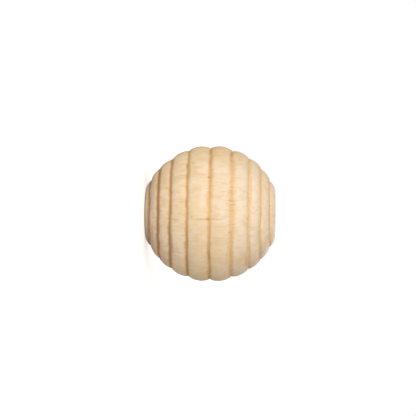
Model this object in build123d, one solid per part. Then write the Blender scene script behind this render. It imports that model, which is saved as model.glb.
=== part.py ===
"""Beehive bead: one piece of turned wood with rounded ribs all round and a bore from end to end for a cord.

The bead stands on one flat end. Its bore lies along Z, and the origin is the centre of the lower end face.
Everything on it is turned about the bore, so the model is one section revolved once.
"""

import os
from math import cos, hypot, radians, sin
from typing import NamedTuple

from build123d import *

# Driving sizes, in millimetres and degrees.
BALL_DIAMETER = 18.0  # the round outline that the crowns of the ribs touch
LENGTH = 17.0  # from flat end to flat end, along the bore
END_TRIM = 0.6  # what the flat ends take off each pole of the round outline
BORE_DIAMETER = 4.5  # a running hole for a 4 mm cord
MOUTH_CHAMFER = 0.3  # the broken edge at each mouth of the bore
END_FLAT = 0.3  # the flat ring between the mouth's chamfer and the end rib
RIB_RADIUS = 3.0  # the section of a rib is an arc of this radius
RIB_ANGLES = (10.2, 27.4, 41.9, 54.0)  # ribs of one half, as angles above the middle of the ball
END_RIB_RADIUS = 2.0  # the last rib at each end is a smaller one that rolls over into the end face

bore_radius = BORE_DIAMETER / 2
end_face_radius = bore_radius + MOUTH_CHAMFER + END_FLAT


class Rib(NamedTuple):
    """The section of one rib: where its arc is centred, and how large the arc is."""

    out: float  # centre's distance from the bore's axis
    height: float  # centre's height above the lower end face
    radius: float

    def point_towards(self, out, height):
        """The point of the arc that faces the direction (out, height)."""
        reach = self.radius / hypot(out, height)
        return (self.out + reach * out, self.height + reach * height)


def rib_at(angle):
    """A rib whose crown touches the ball at this angle above its middle."""
    centre_out = (BALL_DIAMETER / 2 - RIB_RADIUS) * cos(radians(angle))
    centre_rise = (LENGTH / 2 + END_TRIM - RIB_RADIUS) * sin(radians(angle))
    return Rib(centre_out, LENGTH / 2 + centre_rise, RIB_RADIUS)


def all_ribs():
    """Every rib of the section, from the lower end to the upper one."""
    lower_end = Rib(end_face_radius, END_RIB_RADIUS, END_RIB_RADIUS)
    upper_end = Rib(end_face_radius, LENGTH - END_RIB_RADIUS, END_RIB_RADIUS)
    lower_half = [rib_at(-angle) for angle in reversed(RIB_ANGLES)]
    upper_half = [rib_at(angle) for angle in RIB_ANGLES]
    return [lower_end, *lower_half, *upper_half, upper_end]


def groove_between(lower, upper):
    """The bottom of a groove: the point, on the outside of the bead, where two neighbouring ribs' arcs cross."""
    step_out = upper.out - lower.out
    step_up = upper.height - lower.height
    gap = hypot(step_out, step_up)
    along = (gap**2 + lower.radius**2 - upper.radius**2) / (2 * gap)
    across = (lower.radius**2 - along**2) ** 0.5
    out = lower.out + (along * step_out + across * step_up) / gap
    height = lower.height + (along * step_up - across * step_out) / gap
    return (out, height)


def half_section():
    """Half of the bead cut along the bore: x is the distance from the axis, y the height."""
    ribs = all_ribs()
    grooves = [groove_between(lower, upper) for lower, upper in zip(ribs, ribs[1:])]
    ends = [(end_face_radius, 0), *grooves, (end_face_radius, LENGTH)]
    arcs = []
    for rib, start, stop in zip(ribs, ends, ends[1:]):
        crown = rib.point_towards(stop[1] - start[1], start[0] - stop[0])
        arcs.append(ThreePointArc(start, crown, stop))
    wall = Polyline(ends[-1], (bore_radius, LENGTH), (bore_radius, 0), ends[0])
    face = make_face([*arcs, *wall.edges()])
    mouths = face.vertices().group_by(Axis.X)[0]
    return chamfer(mouths, MOUTH_CHAMFER)


bead = revolve(Plane.XZ * half_section(), Axis.Z)

os.makedirs("parts", exist_ok=True)
export_step(bead, "parts/bead.step")
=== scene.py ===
"""Beehive bead: a ball of pale wood, turned with rounded ribs all round and bored through for a cord.

The bead is one turned piece. Its section is traced rib by rib, spun about the bore, then sanded and torn a
little as a real one is, and it gets a solid-wood finish whose grain runs along the bore.
"""

from math import asin, atan2, cos, hypot, radians, sin, sqrt, tau
from typing import NamedTuple

import bpy
from mathutils import Matrix, Vector


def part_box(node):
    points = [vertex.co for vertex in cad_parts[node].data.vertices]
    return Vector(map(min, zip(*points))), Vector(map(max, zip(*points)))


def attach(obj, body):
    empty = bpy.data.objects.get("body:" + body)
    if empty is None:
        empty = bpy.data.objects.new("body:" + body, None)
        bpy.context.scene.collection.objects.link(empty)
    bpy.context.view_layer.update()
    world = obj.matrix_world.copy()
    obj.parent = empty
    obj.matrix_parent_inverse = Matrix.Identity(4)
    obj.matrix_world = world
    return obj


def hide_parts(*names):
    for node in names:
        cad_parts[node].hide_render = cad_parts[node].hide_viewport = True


bl_info = {
    "name": "Beehive Bead",
    "version": (1, 0, 0),
    "blender": (4, 5, 0),
    "location": "3D View > Sidebar > Bead",
    "description": "Turns a ribbed wooden bead and lights it on a pale table",
    "category": "Add Mesh",
}

MM = 0.001
UP = Vector((0, 0, 1))
WHITE = (1, 1, 1, 1)

# Points of the section closer than CLOSE are at the same place. Points of the skin merge when TOUCHING.
CLOSE = 0.01 * MM
TOUCHING = 0.001 * MM

# How many steps the mesh takes along the bore's wall, and round a corner that is rounded off.
BORE_STEPS = 24
CORNER_STEPS = 3

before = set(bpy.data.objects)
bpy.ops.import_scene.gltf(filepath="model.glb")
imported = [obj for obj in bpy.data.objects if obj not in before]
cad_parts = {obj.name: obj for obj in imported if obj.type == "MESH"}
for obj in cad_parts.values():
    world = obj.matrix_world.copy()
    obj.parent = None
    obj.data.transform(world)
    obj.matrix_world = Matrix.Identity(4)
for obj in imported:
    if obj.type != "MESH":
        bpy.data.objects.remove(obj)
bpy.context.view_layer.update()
bead_low, bead_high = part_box("bead")
BEAD_LENGTH = bead_high.z - bead_low.z
CROWN_RADIUS = max(bead_high.x, bead_high.y)


# Settings -------------------------------------------------------------------------------------------------


class BeadSizes(bpy.types.PropertyGroup):
    """The sizes of the turned bead."""

    length: bpy.props.FloatProperty(
        name="Length",
        description="From flat end to flat end, along the bore",
        default=BEAD_LENGTH,
        unit="LENGTH",
    )
    crown_radius: bpy.props.FloatProperty(
        name="Crown Radius",
        description="Half of the bead's width over its widest rib",
        default=CROWN_RADIUS,
        unit="LENGTH",
    )
    end_trim: bpy.props.FloatProperty(
        name="End Trim",
        description="What the flat ends take off each pole of the round outline",
        default=0.6 * MM,
        unit="LENGTH",
    )
    bore_radius: bpy.props.FloatProperty(
        name="Bore Radius",
        description="Half of the width of the hole for the cord",
        default=2.25 * MM,
        unit="LENGTH",
    )
    mouth_chamfer: bpy.props.FloatProperty(
        name="Mouth Chamfer",
        description="The broken edge at each mouth of the bore",
        default=0.3 * MM,
        unit="LENGTH",
    )
    mouth_rounding: bpy.props.FloatProperty(
        name="Mouth Rounding",
        description="How far the rounding of the chamfer's corners reaches up its sides",
        default=0.075 * MM,
        unit="LENGTH",
    )
    end_flat: bpy.props.FloatProperty(
        name="End Flat",
        description="The flat ring between the chamfer and the end rib",
        default=0.3 * MM,
        unit="LENGTH",
    )
    rib_radius: bpy.props.FloatProperty(
        name="Rib Radius",
        description="Radius of a rib's section",
        default=3.0 * MM,
        unit="LENGTH",
    )
    end_rib_radius: bpy.props.FloatProperty(
        name="End Rib Radius",
        description="Radius of the section of the last rib at each end",
        default=2.0 * MM,
        unit="LENGTH",
    )
    rib_angles: bpy.props.FloatVectorProperty(
        name="Rib Angles",
        description="Ribs of one half, as angles above the middle of the ball",
        size=4,
        default=tuple(radians(angle) for angle in (10.2, 27.4, 41.9, 54.0)),
        unit="ROTATION",
    )
    crease_depth: bpy.props.FloatProperty(
        name="Crease Depth",
        description="How much deeper the tool's point cut a groove than its two ribs' arcs go",
        default=0.07 * MM,
        unit="LENGTH",
    )
    crease_nose: bpy.props.FloatProperty(
        name="Crease Nose",
        description="How far the rounding at the bottom of a crease reaches up its sides",
        default=0.05 * MM,
        unit="LENGTH",
    )
    groove_reach: bpy.props.FloatProperty(
        name="Groove Reach",
        description="How far up the ribs the torn grain of a groove goes",
        default=0.75 * MM,
        unit="LENGTH",
    )
    flat_depth: bpy.props.FloatProperty(
        name="Flat Depth",
        description="How deep the sandpaper wore the ribs where it rested longest",
        default=0.11 * MM,
        unit="LENGTH",
    )
    facet: bpy.props.FloatProperty(
        name="Facet",
        description="Length of one step of the mesh, along the section and round the bead",
        default=0.135 * MM,
        unit="LENGTH",
    )


class WoodFinish(bpy.types.PropertyGroup):
    """The colours and the figure of the wood."""

    pale: bpy.props.FloatVectorProperty(
        name="Pale Wood",
        description="The wood between the growth lines",
        subtype="COLOR",
        default=(0.925, 0.72, 0.49),
    )
    # Also painted sheen: the paler upper end of the bead and the rib next to it.
    bleach_and_sheen: bpy.props.FloatVectorProperty(
        name="Bleached Wood",
        description="The palest patches and fibres",
        subtype="COLOR",
        default=(0.97, 0.80, 0.63),
    )
    straw: bpy.props.FloatVectorProperty(
        name="Straw",
        description="Broad yellower patches",
        subtype="COLOR",
        default=(0.92, 0.70, 0.42),
    )
    rosy: bpy.props.FloatVectorProperty(
        name="Rosy Wood",
        description="Broad pinker patches",
        subtype="COLOR",
        default=(0.93, 0.67, 0.46),
    )
    warm: bpy.props.FloatVectorProperty(
        name="Warm Wood",
        description="Growth lines and the darker fibres",
        subtype="COLOR",
        default=(0.80, 0.55, 0.31),
    )
    # Along the grooves this tan is partly painted shade in the crease.
    tan: bpy.props.FloatVectorProperty(
        name="Groove Tan",
        description="The golden tan along the grooves",
        subtype="COLOR",
        default=(0.87, 0.575, 0.275),
    )
    # Also painted shade: the brown line's darkening towards the lower end, and the browner flanks towards
    # +X and -X.
    burnish_and_shade: bpy.props.FloatVectorProperty(
        name="Burnished Brown",
        description="The brown line that the tool's point rubbed at the bottom of the grooves",
        subtype="COLOR",
        default=(0.49, 0.285, 0.145),
    )
    torn: bpy.props.FloatVectorProperty(
        name="Torn Fibres",
        description="Dashes where the tool tore the grain, and the thin line in the upper grooves",
        subtype="COLOR",
        default=(0.64, 0.34, 0.135),
    )
    ring_spacing: bpy.props.FloatProperty(
        name="Ring Spacing",
        description="Width of one year's growth",
        default=2.6 * MM,
        unit="LENGTH",
    )


class StudioSettings(bpy.types.PropertyGroup):
    """The camera, the table and the lights."""

    distance: bpy.props.FloatProperty(
        name="Camera Distance",
        description="From the camera to the middle of the bead",
        default=167 * MM,
        unit="LENGTH",
    )
    view_width: bpy.props.FloatProperty(
        name="View Width",
        description="Width of what the camera sees at the bead",
        default=54.80 * MM,
        unit="LENGTH",
    )
    turn: bpy.props.FloatProperty(
        name="Camera Turn",
        description="How far the camera has gone round from the side towards the upper end",
        default=radians(1.6),
        unit="ROTATION",
    )
    roll: bpy.props.FloatProperty(
        name="Camera Roll",
        description="How far the bore tips off level in the picture",
        default=radians(0.5),
        unit="ROTATION",
    )
    aim: bpy.props.FloatVectorProperty(
        name="Camera Aim",
        description="How far the camera's middle line passes from the bead's middle, to the right and up",
        size=2,
        default=(-0.32 * MM, 0.74 * MM),
        unit="LENGTH",
    )
    key_power: bpy.props.FloatProperty(
        name="Key Light",
        description="Power of the large soft light in front",
        default=0.71,
        unit="POWER",
    )
    fill_power: bpy.props.FloatProperty(
        name="Fill Light",
        description="Power of the weaker light behind",
        default=0.30,
        unit="POWER",
    )
    key_from: bpy.props.FloatVectorProperty(
        name="Key Direction",
        description="Where the light in front stands, as seen from the bead",
        subtype="DIRECTION",
        default=(-0.30, -0.93, 0.255),
    )
    fill_from: bpy.props.FloatVectorProperty(
        name="Fill Direction",
        description="Where the light behind stands, as seen from the bead",
        subtype="DIRECTION",
        default=(0.15, 0.9, 0.4),
    )
    light_distance: bpy.props.FloatProperty(
        name="Light Distance",
        description="From each light to the middle of the bead",
        default=350 * MM,
        unit="LENGTH",
    )
    light_size: bpy.props.FloatProperty(
        name="Light Size",
        description="Width of each light",
        default=160 * MM,
        unit="LENGTH",
    )
    room_light: bpy.props.FloatProperty(
        name="Room Light",
        description="Strength of the light that comes from all round",
        default=0.43,
        min=0,
    )


# The section ----------------------------------------------------------------------------------------------


class Rib(NamedTuple):
    """The section of a rib, as an arc: its centre's distance from the axis, its height and its radius."""

    out: float
    height: float
    radius: float


def all_ribs(sizes):
    """Every rib of the section, from the lower end to the upper one."""
    centre_out = (sizes.crown_radius - sizes.rib_radius) / cos(sizes.rib_angles[0])
    centre_rise = sizes.length / 2 + sizes.end_trim - sizes.rib_radius

    def rib_at(angle):
        return Rib(centre_out * cos(angle), sizes.length / 2 + centre_rise * sin(angle), sizes.rib_radius)

    end_out = sizes.bore_radius + sizes.mouth_chamfer + sizes.end_flat
    lower_end = Rib(end_out, sizes.end_rib_radius, sizes.end_rib_radius)
    upper_end = Rib(end_out, sizes.length - sizes.end_rib_radius, sizes.end_rib_radius)
    lower_half = [rib_at(-angle) for angle in reversed(sizes.rib_angles)]
    upper_half = [rib_at(angle) for angle in sizes.rib_angles]
    return [lower_end, *lower_half, *upper_half, upper_end]


def groove_between(lower, upper):
    """Where two neighbouring ribs' arcs cross outside the bore, and the way into the wood there."""
    step_out = upper.out - lower.out
    step_up = upper.height - lower.height
    gap = hypot(step_out, step_up)
    along = (gap**2 + lower.radius**2 - upper.radius**2) / (2 * gap)
    across = sqrt(lower.radius**2 - along**2)
    inward = Vector((-step_up, 0, step_out)) / gap
    between_centres = Vector((lower.out, 0, lower.height)) + along * Vector((step_out, 0, step_up)) / gap
    return between_centres - across * inward, inward


def at_any(spots):
    """A test of a place: whether it is at any of these spots."""
    return lambda place: any((place - spot).length < CLOSE for spot in spots)


def select_points(mesh, wanted):
    """In edit mode, leaves selected only the points of the mesh that wanted(place) accepts."""
    bpy.ops.object.mode_set(mode="OBJECT")
    for kind in (mesh.polygons, mesh.edges):
        kind.foreach_set("select", [False] * len(kind))
    mesh.vertices.foreach_set("select", [bool(wanted(vertex.co)) for vertex in mesh.vertices])
    bpy.ops.object.mode_set(mode="EDIT")


def extrude_by(out, up):
    """Draws a straight stretch of the section on from its last point."""
    bpy.ops.mesh.extrude_region_move(TRANSFORM_OT_translate={"value": (out, 0, up)})


def turn_round(centre, start, stop, facet):
    """Draws an arc of the section about a centre, on from its last point, in steps of about one facet."""
    angle = 2 * asin((stop - start).length / 2 / (start - centre).length)
    steps = round(angle * (start - centre).length / facet)
    bpy.ops.mesh.spin(steps=steps, angle=angle, center=centre, axis=(0, 1, 0), use_auto_merge=False)


def trace_section(sizes):
    """The outline of half of the bead, cut along the bore, as a closed wire.

    Returns its object and the bottom of each groove.
    """
    # The wire starts at the bore's lower mouth, as a small plane that is merged into one point.
    mouth = Vector((sizes.bore_radius, 0, sizes.mouth_chamfer))
    bpy.ops.object.select_all(action="DESELECT")
    bpy.ops.mesh.primitive_plane_add(size=sizes.mouth_chamfer, location=mouth)
    section = bpy.context.object
    section.name = "bead_turned"
    bpy.ops.object.transform_apply(location=True, rotation=True, scale=True)
    bpy.ops.object.mode_set(mode="EDIT")
    bpy.ops.mesh.select_mode(type="VERT")
    bpy.ops.mesh.merge(type="CENTER")

    ribs = all_ribs(sizes)
    grooves = [groove_between(lower, upper) for lower, upper in zip(ribs, ribs[1:])]
    rim = Vector((ribs[0].out, 0, 0))
    corners = [rim, *(crossing for crossing, _ in grooves), rim + sizes.length * UP]
    extrude_by(sizes.mouth_chamfer, -sizes.mouth_chamfer)
    extrude_by(sizes.end_flat, 0)
    for rib, start, stop in zip(ribs, corners, corners[1:]):
        turn_round(Vector((rib.out, 0, rib.height)), start, stop, sizes.facet)
    extrude_by(-sizes.end_flat, 0)
    extrude_by(-sizes.mouth_chamfer, -sizes.mouth_chamfer)
    wall = sizes.length - 2 * sizes.mouth_chamfer
    for _ in range(BORE_STEPS):
        extrude_by(0, -wall / BORE_STEPS)
    bpy.ops.mesh.select_all(action="SELECT")
    bpy.ops.mesh.remove_doubles(threshold=CLOSE)
    for crossing, inward in grooves:
        select_points(section.data, at_any([crossing]))
        bpy.ops.transform.translate(value=sizes.crease_depth * inward)
    return section, [crossing + sizes.crease_depth * inward for crossing, inward in grooves]


def from_end(place, sizes):
    """How far a place is from the nearer end of the bead."""
    return min(place.z, sizes.length - place.z)


def round_off(section, wanted, reach):
    """Rounds the corners of the section that wanted(place) accepts."""
    select_points(section.data, wanted)
    bpy.ops.mesh.bevel(offset=reach, segments=CORNER_STEPS, affect="VERTICES", clamp_overlap=True)


def round_corners(section, bottoms, sizes):
    """Rounds the bottoms of the grooves and the corners at the mouths of the bore."""
    mouth_out = sizes.bore_radius + sizes.mouth_chamfer

    def at_mouth(place):
        return place.x < mouth_out + CLOSE and from_end(place, sizes) < sizes.mouth_chamfer + CLOSE

    round_off(section, at_any(bottoms), sizes.crease_nose)
    round_off(section, at_mouth, sizes.mouth_rounding)


# The bead's surface ---------------------------------------------------------------------------------------


def ease(share):
    """0 below 0, 1 above 1, and a smooth rise between."""
    share = min(max(share, 0), 1)
    return share * share * (3 - 2 * share)


def spin_about_bore(section, sizes):
    """Turns the closed section about the bore into the solid's skin."""
    bpy.ops.object.mode_set(mode="OBJECT")
    turning = section.modifiers.new("turning", "SCREW")
    turning.axis = "Z"
    turning.steps = turning.render_steps = round(tau * sizes.crown_radius / sizes.facet)
    turning.use_merge_vertices = True
    turning.merge_threshold = TOUCHING
    bpy.ops.object.modifier_apply(modifier=turning.name)
    bpy.ops.object.mode_set(mode="EDIT")
    bpy.ops.mesh.select_all(action="SELECT")
    bpy.ops.mesh.remove_doubles(threshold=TOUCHING)
    bpy.ops.mesh.normals_make_consistent(inside=False)
    bpy.ops.object.mode_set(mode="OBJECT")
    bpy.ops.object.shade_smooth()


def weigh_places(bead, name, weight_at):
    """Gives the bead a vertex group that holds weight_at(place) at each of its points."""
    group = bead.vertex_groups.new(name=name)
    for vertex in bead.data.vertices:
        weight = weight_at(vertex.co)
        if weight > 0:
            group.add([vertex.index], weight, "REPLACE")


def note_places(bead, name, value_at):
    """Gives the bead an attribute, for its material, that holds value_at(place) at each of its points."""
    attribute = bead.data.attributes.new(name, "FLOAT", "POINT")
    attribute.data.foreach_set("value", [value_at(vertex.co) for vertex in bead.data.vertices])


class Mark(NamedTuple):
    """A mark in the wood: its height above the bead's middle, its angle round from the front, and its size.

    Its height, length and width are in millimetres, and its angle is in degrees.
    """

    height: float
    angle: float
    length: float
    width: float
    strength: float


# A mark is at full strength within MARK_CORE of the way out to its edge, and is gone at MARK_FADE.
MARK_CORE = 0.2
MARK_FADE = 1.3


def stain_of(marks, sizes):
    """A function of a place on the bead: how strong the strongest of the marks is there."""
    crown = sizes.crown_radius / MM
    middle = sizes.length / 2

    def stain_at(place):
        around = atan2(-place.x, -place.y) * crown
        height = (place.z - middle) / MM
        stain = 0
        for mark in marks:
            along = 2 * (height - mark.height) / mark.length
            if abs(along) < MARK_FADE:
                across = 2 * (around - radians(mark.angle) * crown) / mark.width
                faded = ease((hypot(along, across) - MARK_CORE) / (MARK_FADE - MARK_CORE))
                stain = max(stain, mark.strength * (1 - faded))
        return stain

    return stain_at


# Where the sandpaper rested longest.
FLATS = (Mark(-4.9, 88.0, 4.2, 7.0, 1.0),)


def sand_flats(bead, sizes):
    """Sands the bead down a little where its flats are."""
    weigh_places(bead, "flats", stain_of(FLATS, sizes))
    sanding = bead.modifiers.new("flats", "DISPLACE")
    sanding.strength = -sizes.flat_depth
    sanding.mid_level = 0
    sanding.vertex_group = "flats"
    bpy.context.view_layer.objects.active = bead
    bpy.ops.object.modifier_apply(modifier=sanding.name)


class Relief(NamedTuple):
    """A cloudy relief worn into the bead: its depth, and its clouds' size across and along the grain.

    It acts on the vertex group that where names. Clouds as bright as level leave the wood in its place.
    """

    name: str
    depth: float
    across: float
    along: float
    where: str
    direction: str = "NORMAL"
    contrast: float = 1.0
    level: float = 1.0


RELIEFS = (
    Relief("groove_wander", 0.20 * MM, 2.2 * MM, 2.2 * MM, "ribs", direction="Z", level=0.5),
    Relief("hand_sanding", 0.05 * MM, 5.0 * MM, 7.0 * MM, "ribs"),
    Relief("raised_grain", 0.016 * MM, 0.45 * MM, 4.0 * MM, "ribs", contrast=1.6),
    Relief("torn_grain", 0.045 * MM, 0.30 * MM, 0.8 * MM, "grooves", contrast=2.0),
)


def wear(bead, relief):
    """Presses one relief into the bead."""
    # The scale of an empty sets how large the clouds are.
    bpy.ops.object.empty_add(location=(0, 0, 0))
    grain = bpy.context.object
    grain.scale = (relief.across, relief.across, relief.along)
    clouds = bpy.data.textures.new(relief.name, "CLOUDS")
    clouds.noise_scale = 1
    clouds.noise_depth = 2
    clouds.contrast = relief.contrast
    bpy.context.view_layer.objects.active = bead
    press = bead.modifiers.new(relief.name, "DISPLACE")
    press.texture = clouds
    press.texture_coords = "OBJECT"
    press.texture_coords_object = grain
    press.direction = relief.direction
    press.strength = relief.depth
    press.mid_level = relief.level
    press.vertex_group = relief.where
    bpy.ops.object.modifier_apply(modifier=press.name)
    bpy.data.objects.remove(grain)


# The marks in the wood ------------------------------------------------------------------------------------


# Dark dashes where single fibres tore out.
DASHES = (
    Mark(-0.3, -4.5, 4.6, 0.24, 0.40),
    Mark(-0.1, -4.6, 0.9, 0.38, 0.9),
    Mark(0.0, 32.0, 0.55, 0.40, 1.0),
    Mark(2.9, 54.0, 0.8, 0.22, 0.8),
    Mark(3.1, 48.0, 0.9, 0.22, 0.35),
    Mark(2.9, 23.5, 0.8, 0.16, 0.4),
    Mark(3.0, 21.0, 0.9, 0.16, 0.45),
    Mark(2.8, 18.0, 0.8, 0.16, 0.4),
    Mark(2.8, 11.2, 1.3, 0.18, 0.75),
    Mark(3.5, 12.4, 1.7, 0.16, 0.35),
    Mark(3.1, 8.4, 0.8, 0.20, 0.65),
    Mark(2.8, 3.0, 0.8, 0.20, 0.4),
    Mark(3.1, -9.0, 0.8, 0.16, 0.45),
    Mark(3.1, -11.8, 1.3, 0.14, 0.35),
    Mark(-3.3, 36.2, 1.3, 0.20, 0.55),
    Mark(-3.2, -19.4, 0.9, 0.20, 0.5),
    Mark(-4.2, -5.4, 1.6, 0.24, 0.35),
    Mark(-3.1, -9.0, 0.8, 0.16, 0.35),
    Mark(-2.95, -31.5, 0.35, 0.30, 0.6),
    Mark(-2.15, -2.7, 0.30, 0.20, 0.85),
    Mark(-1.5, -19.2, 1.2, 0.12, 0.30),
    Mark(-1.4, -21.0, 1.3, 0.12, 0.34),
    Mark(-1.6, -22.8, 1.2, 0.12, 0.30),
    Mark(-1.5, -30.0, 1.4, 0.12, 0.22),
    Mark(5.6, -14.4, 1.0, 0.10, 0.30),
    Mark(5.5, -16.6, 1.1, 0.10, 0.30),
    Mark(5.4, 49.0, 1.6, 0.22, 0.35),
    Mark(0.95, 26.4, 0.8, 0.14, 0.34),
    Mark(0.9, 24.2, 0.9, 0.14, 0.34),
    Mark(-4.2, -12.0, 1.0, 0.14, 0.25),
    Mark(0.12, 38.0, 0.40, 8.0, 0.34),
)
# Where the tool's point rubbed a groove browner than the rest of it.
RUBBED_MARKS = (
    Mark(-2.78, -34.0, 0.40, 6.0, 0.60),
    Mark(0.08, -37.0, 0.42, 3.6, 0.76),
    Mark(0.08, -75.0, 0.40, 2.0, 0.80),
    Mark(0.25, 56.0, 0.35, 2.5, 0.45),
    Mark(-2.60, 40.0, 0.30, 4.0, 0.40),
    Mark(-4.80, 45.0, 0.30, 3.5, 0.40),
    Mark(0.12, -56.0, 0.40, 3.0, 0.60),
    Mark(-4.85, -30.0, 0.70, 7.0, 0.65),
    Mark(0.08, 68.0, 0.40, 3.0, 0.75),
    Mark(2.80, 70.0, 0.35, 2.5, 0.60),
    Mark(0.08, 50.0, 0.35, 3.0, 0.45),
    Mark(-2.80, 47.0, 0.40, 1.2, 0.65),
    Mark(-2.78, 35.0, 0.45, 1.5, 0.60),
    Mark(-2.72, 22.0, 0.40, 1.2, 0.45),
    Mark(-2.78, 10.5, 0.45, 1.0, 0.60),
    Mark(-2.80, -20.0, 0.40, 2.5, 0.60),
    Mark(-2.80, -53.0, 0.40, 2.0, 0.70),
    Mark(-4.90, -13.0, 0.45, 2.0, 0.80),
    Mark(2.72, 62.0, 0.32, 5.0, 0.38),
    Mark(2.70, -58.0, 0.30, 8.0, 0.38),
    Mark(4.82, -60.0, 0.30, 6.0, 0.36),
    Mark(6.45, -58.0, 0.25, 5.0, 0.30),
)
# Golden flecks and patches.
TAN_MARKS = (
    Mark(-3.5, 10.3, 1.8, 0.40, 0.90),
    Mark(-5.4, 27.0, 0.9, 0.50, 0.75),
    Mark(0.0, -38.0, 6.0, 9.0, 0.26),
    Mark(0.3, -20.0, 5.0, 4.5, 0.32),
    Mark(4.0, -46.0, 1.8, 4.0, 0.42),
    Mark(4.7, -52.0, 0.6, 3.5, 0.80),
    Mark(2.3, -42.0, 0.7, 4.5, 0.50),
    Mark(1.2, -72.0, 2.0, 1.6, 0.40),
    Mark(7.3, -40.0, 0.6, 3.5, 0.40),
    Mark(-1.5, -20.5, 1.2, 1.6, 0.50),
    Mark(0.5, 63.0, 1.0, 4.5, 0.85),
    Mark(-2.5, 30.0, 0.5, 1.6, 0.60),
    Mark(-2.1, 46.0, 0.5, 1.2, 0.50),
    Mark(-3.2, 3.0, 0.9, 0.5, 0.45),
    Mark(-6.1, 2.5, 0.9, 0.4, 0.40),
    Mark(-4.1, -7.0, 1.3, 0.3, 0.40),
    Mark(1.0, 57.0, 1.6, 0.9, 0.35),
    Mark(1.3, 52.0, 1.4, 0.5, 0.35),
    Mark(3.2, 51.0, 1.1, 1.4, 0.50),
    Mark(2.6, 19.0, 0.6, 1.5, 0.60),
    Mark(3.3, 20.0, 0.4, 1.6, 0.60),
    Mark(2.5, -30.0, 0.7, 3.0, 0.70),
    Mark(0.2, 21.0, 0.8, 5.5, 0.85),
    Mark(0.15, 50.0, 0.7, 3.2, 0.80),
    Mark(0.0, -12.0, 0.7, 1.2, 0.70),
    Mark(-3.6, 46.0, 1.3, 0.9, 0.40),
    Mark(-1.9, 38.0, 1.2, 1.1, 0.40),
    Mark(5.2, 22.0, 0.6, 3.0, 0.40),
    Mark(0.8, -4.8, 1.9, 0.45, 0.45),
    Mark(4.2, 13.5, 0.5, 0.40, 0.50),
)
# Pale flecks and patches. The band along the rib next to the upper end is painted sheen.
PALE_MARKS = (
    Mark(-7.45, 5.0, 0.50, 9.0, 0.90),
    Mark(-7.1, -35.0, 1.0, 6.0, 0.55),
    Mark(3.4, 38.0, 0.9, 4.0, 0.35),
    Mark(8.0, 5.0, 0.5, 3.0, 0.40),
    Mark(-4.8, -32.0, 3.4, 10.0, 0.42),
    Mark(1.1, 35.0, 1.2, 1.6, 0.60),
    Mark(-0.7, 56.0, 1.0, 2.0, 0.30),
    Mark(1.2, -52.0, 0.9, 1.2, 0.60),
    Mark(5.8, 60.0, 0.9, 2.2, 0.55),
    Mark(-1.1, -38.0, 0.9, 1.4, 0.70),
    Mark(0.6, -28.0, 0.7, 0.8, 0.60),
    Mark(-6.2, -24.0, 2.4, 12.0, 0.30),
    Mark(2.0, 26.0, 1.3, 7.0, 0.28),
    Mark(-6.0, 22.0, 0.8, 2.0, 0.65),
    Mark(-5.9, 3.0, 0.6, 2.5, 0.50),
    Mark(-5.9, -20.0, 0.8, 5.0, 0.75),
    Mark(-7.2, 0.0, 0.7, 9.0, 0.50),
    Mark(-4.1, 25.0, 1.0, 0.9, 0.60),
    Mark(-4.2, 17.5, 1.1, 1.2, 0.60),
    Mark(-4.5, 5.0, 0.8, 0.8, 0.85),
    Mark(-3.6, -18.3, 1.5, 0.22, 0.90),
    Mark(-3.7, -27.5, 1.0, 0.9, 0.60),
    Mark(-3.8, -9.0, 1.2, 0.25, 0.60),
    Mark(-3.8, -13.7, 1.2, 0.20, 0.60),
    Mark(-0.75, 10.0, 0.7, 3.4, 0.60),
    Mark(1.3, 25.3, 1.2, 0.30, 0.70),
    Mark(1.6, 5.0, 1.4, 2.4, 0.50),
    Mark(1.1, -46.0, 0.8, 0.7, 0.60),
    Mark(-2.4, -2.6, 0.45, 0.22, 0.80),
    Mark(5.7, 18.0, 0.8, 1.4, 0.65),
    Mark(5.7, 4.0, 0.7, 1.2, 0.65),
    Mark(5.5, -17.6, 1.2, 0.22, 0.90),
    Mark(5.6, -20.0, 0.9, 0.5, 0.50),
    Mark(5.8, -30.0, 0.8, 1.6, 0.50),
    # Painted sheen along the rib next to the upper end.
    Mark(7.2, 12.0, 0.5, 9.0, 0.35),
)


# The reliefs on the ribs fade out within this distance of the ends and of the bore.
RIB_FADE = 1 * MM


def note_surface(bead, bottoms, sizes):
    """Notes where the bead's grooves, ribs and marks are, for its reliefs and its material."""

    def beside_groove(place):
        return min((place.z - bottom.z for bottom in bottoms), key=abs)

    def groove_share(place):
        out = hypot(place.x, place.y)
        nearest = min(hypot(out - bottom.x, place.z - bottom.z) for bottom in bottoms)
        return max(0, 1 - nearest / sizes.groove_reach)

    def rib_share(place):
        from_bore = hypot(place.x, place.y) - sizes.bore_radius
        return ease(from_end(place, sizes) / RIB_FADE) * ease(from_bore / RIB_FADE)

    note_places(bead, "beside_groove", beside_groove)
    note_places(bead, "near_groove", groove_share)
    for name, marks in (("rubbed", RUBBED_MARKS), ("tanned", TAN_MARKS), ("paled", PALE_MARKS)):
        note_places(bead, name, stain_of(marks, sizes))
    weigh_places(bead, "grooves", groove_share)
    weigh_places(bead, "ribs", rib_share)


# Materials ------------------------------------------------------------------------------------------------


class Value:
    """A socket in a node tree. Arithmetic on values adds the Math nodes that work it out."""

    def __init__(self, make, socket):
        self.make = make
        self.socket = socket

    def __add__(self, other):
        return self.make.math("ADD", self, other)

    def __sub__(self, other):
        return self.make.math("SUBTRACT", self, other)

    def __rsub__(self, other):
        return self.make.math("SUBTRACT", other, self)

    def __mul__(self, other):
        return self.make.math("MULTIPLY", self, other)

    def __truediv__(self, other):
        return self.make.math("DIVIDE", self, other)

    __radd__ = __add__
    __rmul__ = __mul__


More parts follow.
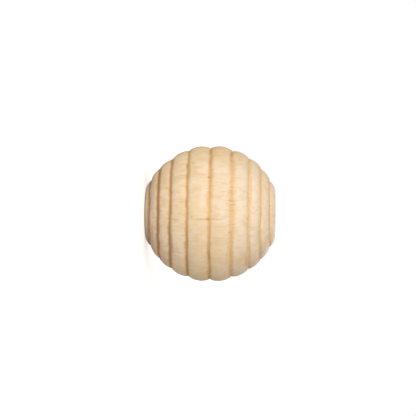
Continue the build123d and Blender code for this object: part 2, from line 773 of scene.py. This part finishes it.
class Shading:
    """A node tree, and the one way to add nodes to it."""

    def __init__(self, tree):
        self.tree = tree

    def node(self, kind, settings=None, sockets=None, output=0):
        """Adds a node, sets it up and fills or links its sockets. Returns its output, if it has one."""
        made = self.tree.nodes.new("ShaderNode" + kind)
        for name, setting in (settings or {}).items():
            setattr(made, name, setting)
        for name, value in (sockets or {}).items():
            if isinstance(value, Value):
                self.tree.links.new(value.socket, made.inputs[name])
            else:
                made.inputs[name].default_value = value
        return Value(self, made.outputs[output]) if made.outputs else None

    def math(self, operation, *numbers):
        """What a Math node makes of these numbers and values."""
        return self.node("Math", {"operation": operation}, dict(enumerate(numbers)))

    def vector_math(self, operation, *vectors):
        """What a Vector Math node makes of these vectors."""
        return self.node("VectorMath", {"operation": operation}, dict(enumerate(vectors)))

    def scaled(self, vector, scale):
        """A vector, made this many times as long."""
        return self.node("VectorMath", {"operation": "SCALE"}, {0: vector, "Scale": scale})

    def length(self, vector):
        """How long a vector is."""
        return self.node("VectorMath", {"operation": "LENGTH"}, {0: vector}, output="Value")

    def noise(self, vector, scale, detail, roughness=0.5, output=0):
        """Soft clouds from 0 to 1."""
        sockets = {"Vector": vector, "Scale": scale, "Detail": detail, "Roughness": roughness}
        return self.node("TexNoise", {}, sockets, output)

    def noted(self, name):
        """What the bead's attribute of this name holds."""
        return self.node("Attribute", {"attribute_name": name}, output="Fac")

    def between(self, value, low, high):
        """0 where the value is low, 1 where it is high, and a smooth rise between."""
        settings = {"interpolation_type": "SMOOTHSTEP"}
        return self.node("MapRange", settings, {"Value": value, "From Min": low, "From Max": high})

    def tinted(self, share, colour, tint):
        """A colour that turns to a tint as the share goes from 0 to 1."""
        # A Mix node has sockets for numbers and vectors too, so those for colours go by their index.
        return self.node("Mix", {"data_type": "RGBA"}, {0: share, 6: colour, 7: (*tint, 1)}, output=2)


def new_material(name):
    """What adds nodes to a new, empty material, and the material itself."""
    material = bpy.data.materials.new(name)
    material.use_nodes = True
    material.node_tree.nodes.clear()
    return Shading(material.node_tree), material


# How far the ragged grain shifts the edge of a dash, in millimetres.
DASH_FRAY = 0.35

# How far the grain sways to one side, in millimetres, so that no line of it is quite straight.
GRAIN_SWAY = 1.3

# The tree's pith passes the bead this far off, in millimetres. Its rings hardly change along the grain.
PITH = (-32, 12, 0)
ACROSS_GRAIN = (1, 1, 0.02)


class Grain:
    """What the wood's figure is made of: places in the bead, in millimetres, and clouds from 0 to 1."""

    def __init__(self, make, wood, sizes):
        self.make = make
        self.crown = sizes.crown_radius / MM
        place = make.scaled(make.node("TexCoord", output="Object"), 1 / MM)
        sway = make.noise(place, 0.13, 2, output="Color")
        self.bent = make.vector_math("ADD", place, make.scaled(sway, GRAIN_SWAY))
        self.x, self.y, z = (make.node("SeparateXYZ", {}, {0: place}, output=axis) for axis in range(3))
        self.height = z - sizes.length / 2 / MM
        self.growth_line = self.growth_lines(wood.ring_spacing / MM)
        self.streaks = make.noise(self.along(8), 0.9, 3)
        self.fibres = make.noise(self.along(6), 2.6, 4, roughness=0.6)
        self.patches = make.noise(self.bent, 0.22, 3)
        self.blush = make.noise(self.bent, 0.30, 3)
        self.mottle = make.noise(self.along(1.6), 1.1, 3)
        self.ragged = make.noise(self.along(3), 2.6, 3, roughness=0.6) - 0.5

    def along(self, stretch):
        """Places for a pattern that is this many times as long along the grain as across it."""
        return self.make.node("Mapping", {}, {"Vector": self.bent, "Scale": (1, 1, 1 / stretch)})

    def growth_lines(self, spacing):
        """The line that ends a year's growth: it darkens slowly through the year, then stops at once."""
        from_pith = self.make.vector_math("MULTIPLY", self.bent, ACROSS_GRAIN)
        from_pith = self.make.length(self.make.vector_math("SUBTRACT", from_pith, PITH))
        year = self.make.math("FRACT", from_pith / spacing)
        return self.make.between(year, 0.62, 0.94) * (1 - self.make.between(year, 0.95, 1.0))

    def dashes(self, stretch, closeness, core, edge):
        """Short dark dashes along the grain, all over the wood."""
        sockets = {"Vector": self.along(stretch), "Scale": closeness}
        cells = self.make.node("TexVoronoi", {"feature": "F1"}, sockets)
        return 1 - self.make.between(cells, core, edge)


class GrooveStainAndShade(NamedTuple):
    """Where the grooves' colours are, from 0 to 1: a golden band and its strength, and two lines in it.

    The band and the brown line are partly painted shade in the crease.
    """

    golden: Value
    glow: Value
    brown: Value
    ember: Value


def groove_stain_and_shade(make, grain):
    """The colours in the grooves: a golden band, a brown line in it, and in the upper half an orange line.

    The band and the brown line are partly painted shade in the crease. They and the orange line wander and
    have ragged edges. Heights and widths are in millimetres.
    """
    height, mottle, ragged = grain.height, grain.mottle, grain.ragged
    beside = make.noted("beside_groove") / MM
    near = make.between(make.noted("near_groove"), 0, 0.1)
    upper = make.between(height, -1.4, 2.4) * (1 - make.between(height, 3.6, 5.4) * 0.65)
    drift = make.noise(grain.bent, 0.42, 2) - 0.5
    under = make.between(grain.x, 0.5, 3.0)

    # The band and the lines lie a little to one side of the groove's bottom, most of all near the ends.
    aside = make.between(height, -7.0, -7.5) * 0.24 + make.between(height, 4.0, 7.8) * 0.17
    aside = aside + under * (0.04 - make.between(height, 3.5, 5.0) * 0.10) - 0.09
    wander = beside + (ragged * 0.7 + drift * 0.6) * (upper * 0.6 + 0.4) + aside
    from_line = make.math("ABSOLUTE", wander)
    from_band = make.math("ABSOLUTE", wander + under * 0.07)
    end_rib = make.between(height, -7.85, -8.1)
    last = make.between(height, -7.2, -7.6)
    heat = make.noise(grain.bent, 0.5, 2)

    # The band is partly the wood's own tan and partly painted shade in the crease. It is widest above the
    # middle of the bead, and faintest at the ends.
    glow = 0.95 - make.between(height, 0.5, 2.4) * 0.15 - make.between(height, 3.8, 5.0) * 0.12
    glow = glow - make.between(height, 5.6, 7.8) * 0.12 - last * 0.45
    glow = glow * (0.6 + mottle * 0.8)
    golden = near * (1 - make.between(from_band + end_rib * 0.3, 0.08, 0.24 + upper * 0.28 + heat * 0.28))

    # The brown line is where the tool's point rubbed the wood. Its darkening towards the lower end is
    # painted shade, and it is also darker on the side towards +X.
    rub_and_shade = make.between(height, 1.5, -8.5) * 0.72 + under * make.between(height, 4.2, 0.5) * 0.22 + 0.09
    rub_and_shade = rub_and_shade - (1 - under) * make.between(height, -6.4, -5.4) * 0.09 + last * 0.15
    rub_and_shade = (rub_and_shade + make.between(height, 2.2, 0.4) * 0.10) * (0.45 + heat * 0.5 + mottle * 0.6)
    rub_and_shade = make.math("MINIMUM", rub_and_shade, make.between(height, -5.6, -6.2) * 0.06 + 0.80)
    thick = make.between(height, -4.0, -5.0) * 0.06 + 0.32
    brown = near * (1 - make.between(from_line + end_rib * 0.2, 0.04, thick)) * rub_and_shade

    # The orange line is broken, and is weak in the topmost groove.
    ember = near * (1 - make.between(from_line, 0.02, 0.19)) * make.between(height, 1.0, 2.2)
    ember = ember * (1 - make.between(height, 7.1, 7.5) * 0.7)
    ember = ember * make.between(ragged * 0.8 + heat, 0.30, 0.75) * 0.30
    return GrooveStainAndShade(golden, glow, brown, ember)


def torn_dashes(make, grain):
    """How dark each place is for DASHES, which lie on the bead's surface as if it were rolled out flat."""
    turned = make.math("ARCTAN2", grain.x * -1, grain.y * -1)
    around = turned * grain.crown + grain.ragged * DASH_FRAY
    flat = make.node("CombineXYZ", {}, {0: around, 2: grain.height + grain.ragged * DASH_FRAY})
    dark = 0
    for mark in DASHES:
        centre = (radians(mark.angle) * grain.crown, 0, mark.height)
        half_size = (mark.width / 2, 1, mark.length / 2)
        sockets = {"Vector": flat, "Location": centre, "Scale": half_size}
        reach = make.length(make.node("Mapping", {"vector_type": "TEXTURE"}, sockets))
        dark = make.math("MAXIMUM", dark, (1 - make.between(reach, MARK_CORE, MARK_FADE)) * mark.strength)
    return dark


def clear_wood(make, wood, grain, paled):
    """The colour of the wood between the grooves.

    The sides are yellower and browner than the front, which is painted shade. The upper end is paler, which
    is painted sheen, the lower end is paler too, and the side towards -X is more golden. Lengths are in
    millimetres.
    """
    x, y, height, mottle, fibres = grain.x, grain.y, grain.height, grain.mottle, grain.fibres
    flank = 1 + y / grain.crown
    colour = (*wood.pale, 1)
    # Painted shade: the straw tint grows away from the front, towards the sides and back.
    colour = make.tinted(make.between(grain.patches + flank * 0.14, 0.40, 0.62), colour, wood.straw)
    colour = make.tinted(make.between(grain.blush, 0.52, 0.70) * 0.5, colour, wood.rosy)
    # Painted sheen: paler towards the upper end.
    colour = make.tinted(make.between(height, 0.3, 6) * 0.5, colour, wood.bleach_and_sheen)
    colour = make.tinted(make.between(mottle, 0.50, 0.30) * 0.4, colour, wood.bleach_and_sheen)
    colour = make.tinted(make.between(mottle, 0.45, 0.75) * 0.28, colour, wood.warm)
    colour = make.tinted(make.between(height, -6.2, -8.4) * 0.6, colour, wood.bleach_and_sheen)
    golden_side = make.between(x * -1, 5.0, 8.7) * (make.between(height, -2.6, -0.4) * 0.34 + 0.10)
    colour = make.tinted(golden_side, colour, wood.tan)
    colour = make.tinted(paled, colour, wood.bleach_and_sheen)
    growth = grain.growth_line * make.between(grain.streaks, 0.35, 0.65)
    colour = make.tinted(growth * 0.32, colour, wood.warm)
    colour = make.tinted(make.between(fibres, 0.48, 0.30) * 0.52, colour, wood.bleach_and_sheen)
    colour = make.tinted(make.between(fibres, 0.50, 0.72) * 0.58, colour, wood.warm)
    # Painted shade: the flanks towards +X and -X, seen edge on from the front, turn browner, +X most.
    sides = make.between(y, -5.0, 0.0) * (1 - make.between(y, 0.5, 7.0))
    sides = sides * (make.between(x, 1.5, 4.5) * 0.24 + make.between(x * -1, 1.5, 4.5) * 0.10)
    return make.tinted(sides, colour, wood.burnish_and_shade)


def bare_wood(wood, sizes):
    """Pale close-grained wood, sanded and left bare. The figure runs right through it, along the bore."""
    make, material = new_material("bare_wood")
    grain = Grain(make, wood, sizes)
    fibres, height = grain.fibres, grain.height
    golden, glow, brown, ember = groove_stain_and_shade(make, grain)

    # Pores are fine dark dashes, and torn fibres are coarser ones in and near the grooves.
    pore = grain.dashes(9, 3.4, 0.05, 0.17)
    torn = grain.dashes(4, 2.3, 0.08, 0.26) * make.between(golden + grain.streaks * 0.6, 0.45, 0.95)
    dark = torn_dashes(make, grain)
    uneven = fibres * 0.8 + grain.mottle * 0.8 + 0.2
    tanned = make.noted("tanned") * uneven * 1.2
    paled = make.noted("paled") * (2 - uneven)
    rubbed = make.noted("rubbed")

    colour = clear_wood(make, wood, grain, paled)
    colour = make.tinted(pore * 0.25, colour, wood.torn)
    # The golden band and the brown line carry painted crease shade, and the brown line painted shade
    # towards the lower end.
    colour = make.tinted(make.math("MAXIMUM", golden * glow, tanned), colour, wood.tan)
    colour = make.tinted(make.math("MAXIMUM", brown, rubbed), colour, wood.burnish_and_shade)
    colour = make.tinted(ember, colour, wood.torn)
    colour = make.tinted(torn * (0.40 + make.between(height, -3, -6) * 0.30), colour, wood.torn)
    colour = make.tinted(dark, colour, wood.torn)

    relief = fibres * -0.6 + pore * -0.4 + (torn + dark) * -0.8 + grain.ragged * golden * 0.8
    bump = make.node("Bump", {}, {"Strength": 0.35, "Distance": 0.04 * MM, "Height": relief})
    roughness = 0.48 + fibres * 0.12 + golden * 0.15
    finish = {"Base Color": colour, "Roughness": roughness, "Normal": bump, "Specular IOR Level": 0.1}
    make.node("OutputMaterial", {}, {"Surface": make.node("BsdfPrincipled", {}, finish)})
    return material


# The studio -----------------------------------------------------------------------------------------------


TABLE_WIDTH = 4
TABLE_GREY = (0.78, 0.78, 0.78, 1)

# How brightly the camera sees the table glow by itself, close by the bead and far off, and how far each is.
CLOSE_GLOW = 0.58
FAR_GLOW = 0.88
CLOSE_BY = 30 * MM
FAR_OFF = 300 * MM


def white_table():
    """A pale matt table top. The camera sees it as white, apart from the bead's soft shadow."""
    make, material = new_material("white_table")
    seen = make.node("LightPath", output="Is Camera Ray")
    away = make.length(make.node("TexCoord", output="Object"))
    matt = make.node("BsdfDiffuse", {}, {"Color": TABLE_GREY})
    white = make.node("Emission", {}, {"Color": WHITE, "Strength": 1})
    share = make.between(away, CLOSE_BY, FAR_OFF) * (FAR_GLOW - CLOSE_GLOW) + CLOSE_GLOW
    glow = make.node("MixShader", {}, {0: seen * share, 2: white})
    make.node("OutputMaterial", {}, {"Surface": make.node("AddShader", {}, {0: matt, 1: glow})})
    return material


def set_table():
    """A wide white table under the bead."""
    bpy.ops.object.select_all(action="DESELECT")
    bpy.ops.mesh.primitive_plane_add(size=TABLE_WIDTH, location=(0, 0, 0))
    table = bpy.context.object
    table.name = "table"
    table.data.materials.append(white_table())


def set_room(scene, studio):
    """Even light from all round, white where the camera or a reflection sees it."""
    world = bpy.data.worlds.new("white_room")
    world.use_nodes = True
    world.node_tree.nodes.clear()
    make = Shading(world.node_tree)
    camera_ray = make.node("LightPath", output="Is Camera Ray")
    glossy_ray = make.node("LightPath", output="Is Glossy Ray")
    through_ray = make.node("LightPath", output="Is Transmission Ray")
    seen = camera_ray + glossy_ray + through_ray
    strength = studio.room_light + seen * (1 - studio.room_light)
    light = make.node("Background", {}, {"Color": WHITE, "Strength": strength})
    make.node("OutputWorld", {}, {"Surface": light})
    scene.world = world


def set_light(name, studio, middle, towards, power):
    """A large soft light that stands on one side of the bead and shines on its middle."""
    towards = Vector(towards).normalized()
    bpy.ops.object.light_add(type="AREA", location=middle + towards * studio.light_distance)
    lamp = bpy.context.object
    lamp.name = name
    lamp.data.energy = power
    lamp.data.size = studio.light_size
    lamp.rotation_mode = "QUATERNION"
    lamp.rotation_quaternion = towards.to_track_quat("Z", "Y")


def set_camera(scene, studio, middle):
    """A camera on its side, so that the bore runs across the picture and the upper end is at its right."""
    bpy.ops.object.camera_add()
    camera = bpy.context.object
    camera.name = "camera"
    along_bore = Vector((0, sin(studio.turn), cos(studio.turn)))
    over_bore = Vector((-1, 0, 0))
    back = along_bore.cross(over_bore)
    right = along_bore * cos(studio.roll) + over_bore * sin(studio.roll)
    up = over_bore * cos(studio.roll) - along_bore * sin(studio.roll)
    place = middle + studio.distance * back + studio.aim[0] * right + studio.aim[1] * up
    camera.matrix_world = Matrix.Translation(place) @ Matrix((right, up, back)).transposed().to_4x4()
    camera.data.lens = camera.data.sensor_width * studio.distance / studio.view_width
    # The usual near limit is almost as far off as the bead.
    camera.data.clip_start = studio.distance / 100
    scene.camera = camera
    scene.view_settings.view_transform = "Standard"


# Operators ------------------------------------------------------------------------------------------------


class BEAD_OT_turn(bpy.types.Operator):
    """Turn the bead: trace its section, spin it about the bore, wear it and give it its wood"""

    bl_idname = "bead.turn"
    bl_label = "Turn the Bead"

    def execute(self, context):
        sizes = context.scene.bead_sizes
        bead, bottoms = trace_section(sizes)
        round_corners(bead, bottoms, sizes)
        spin_about_bore(bead, sizes)
        note_surface(bead, bottoms, sizes)
        sand_flats(bead, sizes)
        for relief in RELIEFS:
            wear(bead, relief)
        bead.data.materials.append(bare_wood(context.scene.bead_wood, sizes))
        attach(bead, "root")
        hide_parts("bead")
        return {"FINISHED"}


class BEAD_OT_studio(bpy.types.Operator):
    """Set the pale table, the soft lights and the camera"""

    bl_idname = "bead.studio"
    bl_label = "Set the Studio"

    def execute(self, context):
        studio = context.scene.bead_studio
        middle = Vector((0, 0, context.scene.bead_sizes.length / 2))
        set_table()
        set_room(context.scene, studio)
        set_light("key_light", studio, middle, studio.key_from, studio.key_power)
        set_light("fill_light", studio, middle, studio.fill_from, studio.fill_power)
        set_camera(context.scene, studio, middle)
        return {"FINISHED"}


class BEAD_PT_panel(bpy.types.Panel):
    """The bead's settings and steps"""

    bl_label = "Beehive Bead"
    bl_idname = "BEAD_PT_panel"
    bl_space_type = "VIEW_3D"
    bl_region_type = "UI"
    bl_category = "Bead"

    def draw(self, context):
        for settings in (context.scene.bead_sizes, context.scene.bead_wood, context.scene.bead_studio):
            box = self.layout.box()
            for name in settings.bl_rna.properties.keys():
                if name not in ("rna_type", "name"):
                    box.prop(settings, name)
        for step in STEPS:
            self.layout.operator(step.bl_idname)


SETTINGS = {"bead_sizes": BeadSizes, "bead_wood": WoodFinish, "bead_studio": StudioSettings}
STEPS = (BEAD_OT_turn, BEAD_OT_studio)
CLASSES = (*SETTINGS.values(), *STEPS, BEAD_PT_panel)


def register():
    for cls in CLASSES:
        bpy.utils.register_class(cls)
    for name, settings in SETTINGS.items():
        setattr(bpy.types.Scene, name, bpy.props.PointerProperty(type=settings))


def unregister():
    for name in SETTINGS:
        delattr(bpy.types.Scene, name)
    for cls in reversed(CLASSES):
        bpy.utils.unregister_class(cls)


def main():
    register()
    bpy.ops.bead.turn()
    bpy.ops.bead.studio()


if __name__ == "__main__":
    main()
